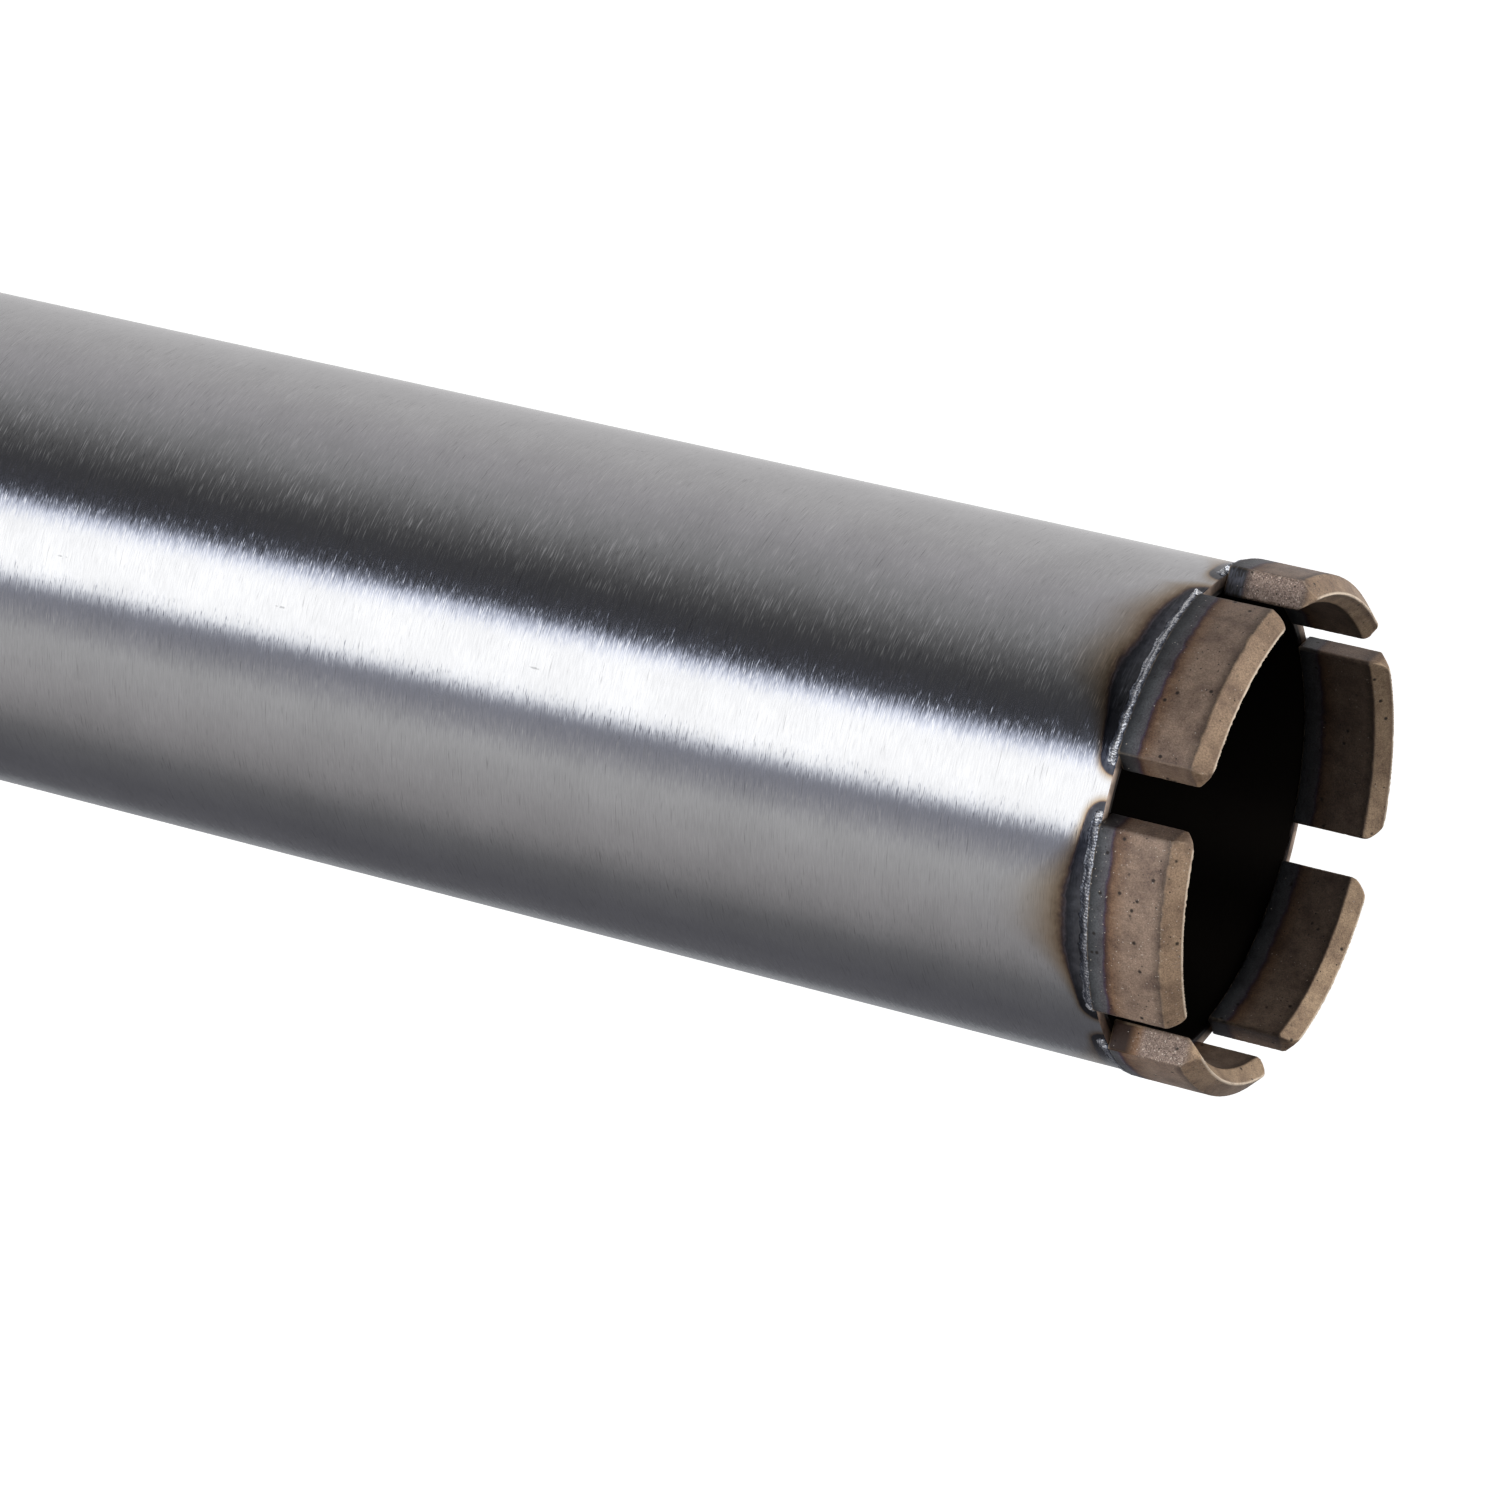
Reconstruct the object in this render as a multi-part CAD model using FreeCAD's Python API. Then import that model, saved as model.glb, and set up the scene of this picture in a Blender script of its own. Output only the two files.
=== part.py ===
"""Wet diamond core bit of 63 mm, with a welded barrel and a female 1 1/4 inch thread.

The bit stands on the seating face of its threaded hub, with the crown up. The origin is on
the bit's axis at that face, and +Z runs along the barrel to the crown. Millimetres.
"""
import FreeCAD, Part
import math
import os

# Barrel
drilling_depth = 370.0
barrel_wall = 2.0

# Crown: the segments' section, seen along the cut. They stand proud of the barrel, so that it
# runs free in the cut.
crown_outer_radius = 31.5
segment_overhang = 0.8
segment_thickness = 3.4
segment_shoulder = 9.4
roof_height = 2.0
ridge_from_inner_face = 1.4

# Crown: one segment seen from outside
segment_length = 24.0
roof_corner_radius = 2.2
end_edge_radius = 0.35

# Crown: how the segments stand on the barrel. A segment's weld leaves it a little off its even
# place: the angle that it is turned by in degrees, and how far it is moved outwards.
segment_seats = (
    (0.0, 0.0),
    (-0.1, 0.1),
    (-0.2, -0.4),
    (2.3, -0.4),
    (1.9, 0.1),
    (0.3, 0.3),
)

# Segment welds: a narrow fillet in the corner below each segment's overhang
weld_leg = 1.1
weld_edge_margin = 0.12
weld_end_margin = 0.3
weld_crown = 0.18

# End plate, which closes the barrel behind
plate_thickness = 5.0
plate_edge_chamfer = 1.0
spigot_height = 3.0
spigot_clearance = 0.1
spigot_chamfer = 0.8
water_hole_radius = 12.0
water_hole_chamfer = 0.6
seam_leg = 1.4
seam_crown = 0.3

# Threaded hub: thread of 1 1/4 inch with 7 turns to the inch, here at its minor diameter
hub_length = 34.0
hub_sides = 6
hub_across_flats = 41.0
hub_seat_radius = 19.6
hub_corner_slope = 30.0
hub_collar_height = 7.0
thread_minor_radius = 14.1
thread_major_radius = 15.875
mouth_clearance = 0.4
fillet_leg = 4.0
fillet_crown = 0.4

# What follows from the sizes above: radii, and levels along the axis
barrel_outer_radius = crown_outer_radius - segment_overhang
barrel_inner_radius = barrel_outer_radius - barrel_wall
collar_radius = hub_across_flats / 2.0
hub_corner_radius = collar_radius / math.cos(math.pi / hub_sides)
plate_top = hub_length + plate_thickness
spigot_top = plate_top + spigot_height
crown_top = spigot_top + drilling_depth
segment_foot = crown_top - roof_height - segment_shoulder

AXIS = FreeCAD.Vector(0, 0, 1)
CENTRE = FreeCAD.Vector(0, 0, 0)


def at(radius, height):
    """A point of a section, in the half plane through the axis."""
    return FreeCAD.Vector(radius, 0, height)


def lines(points):
    """Straight edges that join the points in turn."""
    return [Part.LineSegment(a, b).toShape() for a, b in zip(points, points[1:])]


def weld_face(start, end, crown):
    """A weld's face from start to end, raised in its middle, to the right of the way it runs."""
    chord = end - start
    right = FreeCAD.Vector(chord.z, 0, -chord.x).normalize()
    middle = (start + end) * 0.5 + right * crown
    return lines([start, middle, end])


def turned(edges, angle=360.0):
    """The solid that a closed section sweeps as it turns round the axis."""
    wire = Part.Wire(Part.__sortEdges__(edges))
    return Part.Face(wire).revolve(CENTRE, AXIS, angle)


def turned_profile(corners):
    """A full turned piece from its section's corners."""
    points = [at(radius, height) for radius, height in corners]
    return turned(lines(points + points[:1]))


def as_solid(shape):
    """The one solid of a shape, without seams that lie in one face."""
    return shape.removeSplitter().Solids[0]


def barrel_tube():
    """The steel tube, square at the crown and chamfered behind for its seam."""
    return turned_profile([
        (barrel_inner_radius, plate_top),
        (barrel_outer_radius - seam_leg, plate_top),
        (barrel_outer_radius, plate_top + seam_leg),
        (barrel_outer_radius, segment_foot),
        (barrel_inner_radius, segment_foot),
    ])


def front_outline():
    """A segment seen from outside: square at the foot, with rounded corners at the roof."""
    half = segment_length / 2.0
    low = segment_foot
    turn = crown_top - roof_corner_radius
    inset = half - roof_corner_radius
    diagonal = roof_corner_radius * math.sqrt(0.5)

    def across(y, z):
        return FreeCAD.Vector(0, y, z)

    right = Part.Arc(across(half, turn), across(inset + diagonal, turn + diagonal),
                     across(inset, crown_top))
    left = Part.Arc(across(-inset, crown_top), across(-inset - diagonal, turn + diagonal),
                    across(-half, turn))
    edges = lines([across(-half, turn), across(-half, low), across(half, low), across(half, turn)])
    edges += lines([across(inset, crown_top), across(-inset, crown_top)])
    edges += [right.toShape(), left.toShape()]
    return Part.Face(Part.Wire(Part.__sortEdges__(edges)))


def segment(turn, outward):
    """One sintered segment: a piece of a ring with a roof, cut off square to its middle."""
    outer = crown_outer_radius + outward
    inner = outer - segment_thickness
    ridge = inner + ridge_from_inner_face
    shoulder = segment_foot + segment_shoulder
    ring = turned_profile([
        (inner, segment_foot),
        (outer, segment_foot),
        (outer, shoulder),
        (ridge, crown_top),
        (inner, shoulder),
    ])
    block = front_outline().extrude(FreeCAD.Vector(outer + segment_thickness, 0, 0))
    piece = as_solid(ring.common(block))
    upright = [edge for edge in piece.Edges if is_upright(edge)]
    piece = piece.makeFillet(end_edge_radius, upright)
    piece.rotate(CENTRE, AXIS, turn)
    return piece


def is_upright(edge):
    """Whether an edge is straight and runs along the axis."""
    if not isinstance(edge.Curve, Part.Line):
        return False
    direction = edge.Curve.Direction
    return abs(abs(direction.z) - 1.0) < 1e-6


def segment_weld(turn, outward):
    """The laser weld's bead in the corner between the barrel and one segment's foot."""
    outer = crown_outer_radius + outward
    corner = at(barrel_outer_radius, segment_foot)
    rim = at(outer - weld_edge_margin, segment_foot)
    toe = at(barrel_outer_radius, segment_foot - weld_leg)
    half_length = segment_length / 2.0 - end_edge_radius - weld_end_margin
    half_angle = math.degrees(math.asin(half_length / outer))
    edges = lines([toe, corner, rim])
    edges += weld_face(toe, rim, weld_crown)
    bead = turned(edges, 2.0 * half_angle)
    bead.rotate(CENTRE, AXIS, turn - half_angle)
    return bead


def end_plate():
    """The round plate behind the barrel, with a spigot inside the tube and a water hole."""
    spigot_radius = barrel_inner_radius - spigot_clearance
    return turned_profile([
        (water_hole_radius, hub_length),
        (barrel_outer_radius - plate_edge_chamfer, hub_length),
        (barrel_outer_radius, hub_length + plate_edge_chamfer),
        (barrel_outer_radius, plate_top - seam_leg),
        (barrel_outer_radius - seam_leg, plate_top),
        (spigot_radius, plate_top),
        (spigot_radius, spigot_top - spigot_chamfer),
        (spigot_radius - spigot_chamfer, spigot_top),
        (water_hole_radius + water_hole_chamfer, spigot_top),
        (water_hole_radius, spigot_top - water_hole_chamfer),
    ])


def end_plate_weld():
    """The seam that fills the groove between the end plate and the barrel."""
    below = at(barrel_outer_radius, plate_top - seam_leg)
    root = at(barrel_outer_radius - seam_leg, plate_top)
    above = at(barrel_outer_radius, plate_top + seam_leg)
    edges = lines([above, root, below])
    edges += weld_face(below, above, seam_crown)
    return turned(edges)


def hexagon_prism():
    """The hub's spanner flats, over the hub's whole length."""
    corners = []
    for index in range(hub_sides):
        angle = (2 * index + 1) * math.pi / hub_sides
        corner = FreeCAD.Vector(math.cos(angle), math.sin(angle), 0) * hub_corner_radius
        corners.append(corner)
    face = Part.Face(Part.Wire(lines(corners + corners[:1])))
    return face.extrude(FreeCAD.Vector(0, 0, hub_length))


def threaded_hub():
    """The hexagonal hub: corners chamfered at the seat, a round collar at the plate."""
    rise = math.tan(math.radians(hub_corner_slope))
    seat_chamfer = (hub_corner_radius - hub_seat_radius) * rise
    collar_chamfer = (hub_corner_radius - collar_radius) * rise
    collar_foot = hub_length - hub_collar_height
    mouth_radius = thread_major_radius + mouth_clearance
    mouth_depth = mouth_radius - thread_minor_radius
    spanner_length = turned_profile([
        (thread_minor_radius, mouth_depth),
        (mouth_radius, 0.0),
        (hub_seat_radius, 0.0),
        (hub_corner_radius, seat_chamfer),
        (hub_corner_radius, collar_foot - collar_chamfer),
        (collar_radius, collar_foot),
        (thread_minor_radius, collar_foot),
    ])
    collar = turned_profile([
        (thread_minor_radius, collar_foot),
        (collar_radius, collar_foot),
        (collar_radius, hub_length),
        (thread_minor_radius, hub_length),
    ])
    return as_solid(spanner_length.common(hexagon_prism()).fuse(collar))


def hub_weld():
    """The fillet weld round the hub's collar, against the end plate."""
    inner = at(collar_radius, hub_length - fillet_leg)
    root = at(collar_radius, hub_length)
    outer = at(collar_radius + fillet_leg, hub_length)
    edges = lines([inner, root, outer])
    edges += weld_face(inner, outer, fillet_crown)
    return turned(edges)


def build():
    """Every piece of the bit, by the name of its node."""
    pieces = {
        "barrel_tube": barrel_tube(),
        "end_plate": end_plate(),
        "end_plate_weld": end_plate_weld(),
        "threaded_hub": threaded_hub(),
        "hub_weld": hub_weld(),
    }
    pitch = 360.0 / len(segment_seats)
    for index, (offset, outward) in enumerate(segment_seats):
        turn = index * pitch + offset
        pieces["segment_%d" % (index + 1)] = segment(turn, outward)
        pieces["segment_weld_%d" % (index + 1)] = segment_weld(turn, outward)
    return pieces


os.makedirs("parts", exist_ok=True)
for name, shape in build().items():
    shape.exportStep("parts/%s.step" % name)
    print("%-18s solids %d valid %s volume %.1f" % (name, len(shape.Solids), shape.isValid(), shape.Volume))
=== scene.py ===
"""Looks of a wet diamond core bit: brushed barrel, laser welds, sintered segments, turned hub."""
import math
import bpy
import numpy as np
from mathutils import Matrix, Vector


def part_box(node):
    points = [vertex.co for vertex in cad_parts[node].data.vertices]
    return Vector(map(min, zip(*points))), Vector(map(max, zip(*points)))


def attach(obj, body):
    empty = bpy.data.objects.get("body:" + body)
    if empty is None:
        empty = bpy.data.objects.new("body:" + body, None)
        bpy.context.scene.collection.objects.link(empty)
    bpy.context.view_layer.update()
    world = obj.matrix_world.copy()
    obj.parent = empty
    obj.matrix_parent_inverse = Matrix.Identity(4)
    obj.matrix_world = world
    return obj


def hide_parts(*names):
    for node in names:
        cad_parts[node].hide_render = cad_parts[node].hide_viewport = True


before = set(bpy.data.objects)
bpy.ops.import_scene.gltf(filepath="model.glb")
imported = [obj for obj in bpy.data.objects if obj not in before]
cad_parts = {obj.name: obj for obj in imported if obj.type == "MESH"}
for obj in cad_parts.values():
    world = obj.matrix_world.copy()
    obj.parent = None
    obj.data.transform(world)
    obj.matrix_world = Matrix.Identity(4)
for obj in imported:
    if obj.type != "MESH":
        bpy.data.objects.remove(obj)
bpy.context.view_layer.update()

MM = 0.001

# Sizes that the frame gives, in millimetres
barrel_low, barrel_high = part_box("barrel_tube")
foot_z = barrel_high[2] / MM
barrel_radius = barrel_high[0] / MM
hub_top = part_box("threaded_hub")[1][2] / MM
seam_low, seam_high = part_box("end_plate_weld")
seam_leg = (seam_high[2] - seam_low[2]) / MM / 2.0
crown_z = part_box("segment_1")[1][2] / MM

# Sizes that the solids have and the frame doesn't state, in millimetres and degrees
barrel_wall = 2.0
crown_radius = 31.5
segment_length = 24.0
segment_thickness = 3.4
segment_shoulder = 9.4
segment_turns = (0.0, 59.9, 119.8, 182.3, 241.9, 300.3)
segment_moves = (0.0, 0.1, -0.4, -0.4, 0.1, 0.3)
thread_minor_radius = 14.1
thread_entry_radius = 16.29

# The rest of the thread: 1 1/4 inch across, 7 turns to the inch
thread_major_radius = 15.875
thread_pitch = 25.4 / 7.0

# Looks of each segment: grit on its end faces (past 1 it also paints light on them), brightness (partly
# painted light), share of bright specks with a painted glint, and how far the edge of its grey foot lies off
# the usual height, in millimetres
segment_grit = (0.15, 0.3, 1.0, 0.2, 0.2, 1.3)
segment_tones_and_painted_light = (0.98, 1.0, 1.02, 1.0, 0.97, 1.13)
segment_specks = (0.12, 0.5, 0.15, 0.08, 0.08, 0.12)
foot_moves = (0.0, -0.25, -1.1, 0.0, 0.0, 0.0)
# Heights above a segment's foot, in millimetres: where its last colour is reached, and where the
# ridge of its roof, worn and with a painted highlight, starts and is full
powder_reach = 12.0
ridge_start = 11.13
ridge_full = 11.26

# Each segment's bead, at its two ends: how large the last drop is, and how far the bead runs past
# the segment, in millimetres
bead_drops = ((1.6, 0.4), (0.8, 0.6), (1.0, 0.5), (0.6, 0.4), (0.5, 0.6), (1.2, 1.0))
bead_ends = ((1.4, 1.5), (1.6, 1.2), (1.2, 1.0), (0.9, 1.2), (1.2, 0.8), (1.3, 1.0))
# Its form: the high crest's middle and width as shares of the way across, how far the bead
# reaches above the segment's foot, in millimetres, and its gloss: how strong its painted highlight is
bead_forms = ((0.60, 0.28, 0.16, 1.25), (0.68, 0.36, 0.4, 0.78), (0.62, 0.26, 0.2, 0.9),
              (0.58, 0.24, 0.16, 0.9), (0.62, 0.26, 0.2, 0.9), (0.62, 0.28, 0.2, 0.9))

# The side of the tube that is scuffed most, as a direction out from the axis
scuff_side = (math.cos(math.radians(-8.0)), math.sin(math.radians(-8.0)), 0.0)
# How far the heat tints and their dark zone reach from a weld, in millimetres
tint_reach = 12.0
dark_reach = 2.4
# Where the heat tints are wider: the middle, how far off it they start and are full, in degrees,
# and how much wider they are, in millimetres
hot_sides = ((59.9, 21.5, 11.5, 0.75), (12.0, 17.0, 6.0, 1.6), (-9.0, 13.0, 4.0, 0.6))
# Where the tints fade softly past a segment's end: the middle, and how far off it, in degrees
soft_side = (-19.0, 16.0, 7.0)

# The camera: its place in metres, the way it looks, its roll in degrees, its lens in millimetres
camera_place = Vector((0.605281, 0.381697, 0.684437))
camera_ahead = Vector((-0.765266, -0.47618, -0.433152))
camera_roll = 103.548
camera_lens = 156.07


def srgb(red, green, blue):
    """A colour as it is seen on a screen, from 0 to 255, as linear light."""
    def linear(level):
        level /= 255.0
        return level / 12.92 if level <= 0.04045 else ((level + 0.055) / 1.055) ** 2.4
    return (linear(red), linear(green), linear(blue), 1.0)


def grey(level):
    """A neutral linear colour."""
    return (level, level, level, 1.0)


class Graph:
    """Nodes that are added by short calls. Inputs take a number, a colour or a socket."""

    def __init__(self, owner):
        owner.use_nodes = True
        self.owner = owner
        self.nodes = owner.node_tree.nodes
        self.links = owner.node_tree.links
        self.nodes.clear()

    def add(self, kind, inputs=None, **settings):
        """A node of a kind, with its settings and its inputs by name or number."""
        node = self.nodes.new("ShaderNode" + kind)
        for key, value in settings.items():
            setattr(node, key, value)
        for key, value in (inputs or {}).items():
            self.set(node.inputs[key], value)
        return node

    def set(self, socket, value):
        """Links a socket or writes a value to it."""
        if isinstance(value, bpy.types.NodeSocket):
            self.links.new(value, socket)
        else:
            socket.default_value = value

    def math(self, operation, first, second=0.0):
        return self.add("Math", {0: first, 1: second}, operation=operation).outputs[0]

    def vector(self, operation, first, second=(0, 0, 0)):
        node = self.add("VectorMath", {0: first, 1: second}, operation=operation)
        return node.outputs["Value"] if operation in ("DOT_PRODUCT", "LENGTH") else node.outputs[0]

    def scaled(self, value, factor):
        """A vector or a colour times a number or a socket."""
        return self.add("VectorMath", {0: value, "Scale": factor}, operation="SCALE").outputs[0]

    def swing(self, value, width):
        """A value from 0 to 1 made into one about zero, as wide as is said."""
        return self.math("MULTIPLY", self.math("SUBTRACT", value, 0.5), width)

    def noise(self, place, scale, detail=2.0, roughness=0.5):
        inputs = {"Vector": place, "Scale": scale, "Detail": detail, "Roughness": roughness}
        return self.add("TexNoise", inputs).outputs[0]

    def ramp(self, value, stops):
        """A colour ramp from (place, colour) pairs."""
        node = self.add("ValToRGB", {0: value})
        elements = node.color_ramp.elements
        while len(elements) < len(stops):
            elements.new(0.5)
        for element, (place, colour) in zip(elements, stops):
            element.position = place
            element.color = colour if len(colour) == 4 else (*colour, 1.0)
        return node.outputs[0]

    def range(self, value, low, high, to_low=0.0, to_high=1.0):
        inputs = {0: value, 1: low, 2: high, 3: to_low, 4: to_high}
        return self.add("MapRange", inputs).outputs[0]

    def mix(self, share, first, second, blend="MIX"):
        node = self.add("Mix", {0: share, 6: first, 7: second}, data_type="RGBA", blend_type=blend)
        return node.outputs[2]

    def tinted(self, colour, tint):
        """A colour times another."""
        return self.mix(1.0, colour, tint, "MULTIPLY")

    def attribute(self, name, output="Fac"):
        """What a mesh's points hold under a name."""
        return self.add("Attribute", attribute_name=name).outputs[output]

    def place(self):
        """The point in the row frame, in millimetres."""
        return self.scaled(self.add("TexCoord").outputs["Object"], 1.0 / MM)

    def split(self, value):
        return self.add("SeparateXYZ", {0: value}).outputs

    def join(self, x=0.0, y=0.0, z=0.0):
        return self.add("CombineXYZ", {0: x, 1: y, 2: z}).outputs[0]

    def finish(self, surface, output="OutputMaterial"):
        """Links a shader to the output and gives back the material or world."""
        self.links.new(surface, self.add(output).inputs[0])
        return self.owner


def new_graph(name):
    """The nodes of a new material."""
    return Graph(bpy.data.materials.new(name))


def off_axis(graph, place):
    """How far a point is from the axis."""
    parts = graph.split(place)
    return graph.vector("LENGTH", graph.join(parts[0], parts[1], 0.0))


def spots(graph, place, scale, size, share):
    """Round spots of a size in millimetres in a share of the cells of a grid: 1 inside, 0 outside."""
    cell = graph.add("TexVoronoi", {"Vector": place, "Scale": scale, "Randomness": 1.0})
    near = graph.range(cell.outputs["Distance"], size * scale, size * scale * 0.5)
    pick = graph.split(cell.outputs["Color"])[0]
    chosen = graph.math("LESS_THAN", pick, share)
    return graph.math("MULTIPLY", near, chosen)


def brushed(graph, place, pitch, length, detail=3.0):
    """Noise in fine lines that run round the axis: one value for each line, from 0 to 1."""
    parts = graph.split(place)
    stretched = graph.join(graph.math("DIVIDE", parts[0], length), graph.math("DIVIDE", parts[1], length),
                           graph.math("DIVIDE", parts[2], pitch))
    return graph.noise(stretched, 1.0, detail, 0.6)


def weld_reach(graph, place):
    """How far a point is from the nearest segment's middle round the rim, in millimetres."""
    parts = graph.split(place)
    around = graph.vector("NORMALIZE", graph.join(parts[0], parts[1], 0.0))
    nearest = None
    for turn in segment_turns:
        angle = math.radians(turn)
        facing = graph.vector("DOT_PRODUCT", around, (math.cos(angle), math.sin(angle), 0.0))
        nearest = facing if nearest is None else graph.math("MAXIMUM", nearest, facing)
    return graph.math("MULTIPLY", graph.math("ARCCOSINE", nearest), barrel_radius)


def near_turn(graph, place, turn, start, full, far_value, near_value):
    """A value round the tube: one from a start in degrees off a turn on, another near the turn."""
    side = (math.cos(math.radians(turn)), math.sin(math.radians(turn)), 0.0)
    low = barrel_radius * math.cos(math.radians(start))
    high = barrel_radius * math.cos(math.radians(full))
    return graph.range(graph.vector("DOT_PRODUCT", place, side), low, high, far_value, near_value)


def weld_heat(graph, place):
    """How far a point of the tube is from the nearest weld, in millimetres, with uneven edges."""
    below = graph.math("SUBTRACT", foot_z, graph.split(place)[2])
    half_arc = segment_length / 2.0
    reach = weld_reach(graph, place)
    share = graph.range(reach, 0.0, half_arc)
    spread = graph.range(graph.math("POWER", share, 4.0), 0.0, 1.0, 1.0, 0.85)
    past_end = graph.math("MAXIMUM", graph.math("SUBTRACT", reach, half_arc), 0.0)
    distance = graph.vector("LENGTH", graph.join(past_end, graph.math("DIVIDE", below, spread), 0.0))
    beyond = graph.math("MAXIMUM", graph.math("SUBTRACT", distance, dark_reach), 0.0)
    soft = near_turn(graph, place, *soft_side, 6.0, 0.5)
    pinch = graph.math("MULTIPLY", graph.math("POWER", share, 3.0), soft)
    distance = graph.math("ADD", distance, graph.math("MULTIPLY", beyond, pinch))
    wobble = graph.swing(graph.noise(place, 0.3, 2.0), 0.5)
    ragged = graph.swing(graph.noise(place, 1.4, 3.0, 0.6), 0.9)
    heat = graph.math("ADD", distance, graph.math("ADD", wobble, ragged))
    for turn, start, full, wider in hot_sides:
        heat = graph.math("SUBTRACT", heat, near_turn(graph, place, turn, start, full, 0.0, wider))
    return heat


def heat_tint(graph, heat):
    """What the welds' heat makes of the steel's colour, from dark through tan to bare."""
    return graph.ramp(graph.math("DIVIDE", heat, tint_reach), (
        (0.0, (0.19, 0.195, 0.21)),
        (0.09, (0.15, 0.155, 0.175)),
        (0.15, (0.085, 0.09, 0.105)),
        (0.195, (0.07, 0.07, 0.08)),
        (0.212, (0.15, 0.135, 0.15)),
        (0.236, (0.12, 0.09, 0.09)),
        (0.275, (0.31, 0.22, 0.155)),
        (0.32, (0.47, 0.36, 0.255)),
        (0.40, (0.66, 0.54, 0.42)),
        (0.56, (0.79, 0.72, 0.64)),
        (0.76, (0.93, 0.91, 0.89)),
        (1.0, (1.0, 1.0, 1.0)),
    ))


def outside_colour(graph, place, lines):
    """The tube's outer side: brushed lines, dark hairs, heat tints, smoke and a few nicks."""
    heat = weld_heat(graph, place)
    hairs = graph.range(brushed(graph, place, 0.12, 3.5, 1.0), 0.67, 0.74, 1.0, 0.7)
    steel = graph.ramp(lines, ((0.3, grey(0.54)), (0.7, grey(0.64))))
    steel = graph.tinted(steel, graph.join(hairs, hairs, hairs))
    cloud = graph.range(graph.noise(place, 0.12, 3.0, 0.6), 0.3, 0.7, 0.94, 1.05)
    smoke = graph.range(graph.noise(place, 0.9, 4.0, 0.7), 0.3, 0.7, 0.7, 1.4)
    cleared = graph.math("MULTIPLY", graph.math("SUBTRACT", cloud, smoke), graph.range(heat, 2.0, 4.5))
    outside = graph.scaled(graph.tinted(steel, heat_tint(graph, heat)), graph.math("ADD", smoke, cleared))
    parts = graph.split(place)
    drawn_out = graph.join(parts[0], parts[1], graph.math("MULTIPLY", parts[2], 0.16))
    nicks = graph.math("MULTIPLY", spots(graph, drawn_out, 0.55, 0.16, 0.12),
                       graph.range(graph.noise(place, 2.2, 3.0, 0.6), 0.5, 0.56))
    return graph.mix(graph.math("MULTIPLY", nicks, 0.45), outside, grey(0.12))


def brushed_normal(graph, place, normal, lines):
    """The tube's normal, turned a little round the axis by its lines, dashes and glints."""
    dashes = brushed(graph, place, 0.13, 2.5, 1.2)
    glints = brushed(graph, place, 0.10, 1.3, 1.2)
    broad = brushed(graph, place, 0.35, 20.0)
    scuffed = graph.range(graph.vector("DOT_PRODUCT", normal, scuff_side), 0.86, 0.95, 0.12, 0.85)
    dash_tilt = graph.math("MULTIPLY", graph.range(dashes, 0.56, 0.74, 0.0, 0.24), scuffed)
    fine_tilt = graph.math("SUBTRACT", graph.swing(lines, 0.085), dash_tilt)
    fine_tilt = graph.math("ADD", fine_tilt, graph.range(glints, 0.57, 0.78, 0.0, 0.09))
    around = graph.vector("CROSS_PRODUCT", (0.0, 0.0, 1.0), normal)
    tilt = graph.scaled(around, graph.math("ADD", fine_tilt, graph.swing(broad, 0.02)))
    return graph.vector("NORMALIZE", graph.vector("ADD", normal, tilt))


def rim_steel(graph, place, radius):
    """The colour of the tube's cut end: tanned by the welds, and darker towards the bore as painted shade.
    """
    across = graph.range(radius, barrel_radius - barrel_wall, barrel_radius)
    # Painted shade: the ramp's dark inner stops darken the cut end towards the bore.
    tan = graph.ramp(across, (
        (0.0, srgb(14, 11, 10)),
        (0.32, srgb(34, 27, 23)),
        (0.42, srgb(140, 120, 105)),
        (1.0, srgb(226, 204, 186)),
    ))
    cloud = graph.noise(place, 0.8, 3.0)
    return graph.mix(graph.range(cloud, 0.4, 0.65, 0.0, 0.45), tan, srgb(70, 60, 56))


def barrel_steel():
    """Ground steel with fine lines round the tube and heat tints beside the welds, and painted shade in its
    bore.
    """
    graph = new_graph("barrel_steel")
    place = graph.place()
    normal = graph.add("NewGeometry").outputs["Normal"]
    radius = off_axis(graph, place)
    lines = brushed(graph, place, 0.11, 1.8)
    bore = barrel_radius - barrel_wall
    outer_side = graph.range(radius, bore + 0.1, bore + 0.2)
    rim = graph.math("GREATER_THAN", graph.split(normal)[2], 0.7)
    # The bore's colour srgb(26, 23, 20) is painted shade: it is dark for the light that doesn't reach inside
    # the tube.
    colour = graph.mix(outer_side, srgb(26, 23, 20), outside_colour(graph, place, lines))
    colour = graph.mix(rim, colour, rim_steel(graph, place, radius))
    matt = graph.math("MAXIMUM", rim, graph.math("SUBTRACT", 1.0, outer_side))
    shader = graph.add("BsdfPrincipled", {
        "Base Color": colour,
        "Metallic": 1.0,
        "Roughness": graph.math("ADD", graph.math("MULTIPLY", matt, 0.3), 0.22),
        "Anisotropic": 0.85,
        "Anisotropic Rotation": 0.25,
        "Tangent": graph.add("Tangent", direction_type="RADIAL", axis="Z").outputs[0],
        "Normal": brushed_normal(graph, place, normal, lines),
    })
    return graph.finish(shader.outputs[0])


def powder_colours(graph, level):
    """A segment's colours from its foot up: grey, a thin purple line, and browns."""
    return graph.ramp(graph.math("DIVIDE", level, powder_reach), (
        (0.0, srgb(36, 37, 40)),
        (0.05, srgb(58, 60, 63)),
        (0.12, srgb(86, 88, 91)),
        (0.185, srgb(94, 92, 96)),
        (0.205, srgb(72, 60, 76)),
        (0.225, srgb(84, 60, 52)),
        (0.27, srgb(128, 100, 78)),
        (0.40, srgb(150, 128, 111)),
        (0.68, srgb(150, 129, 113)),
        (0.765, srgb(108, 92, 80)),
        (0.79, srgb(166, 140, 115)),
        (1.0, srgb(168, 142, 117)),
    ))


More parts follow.
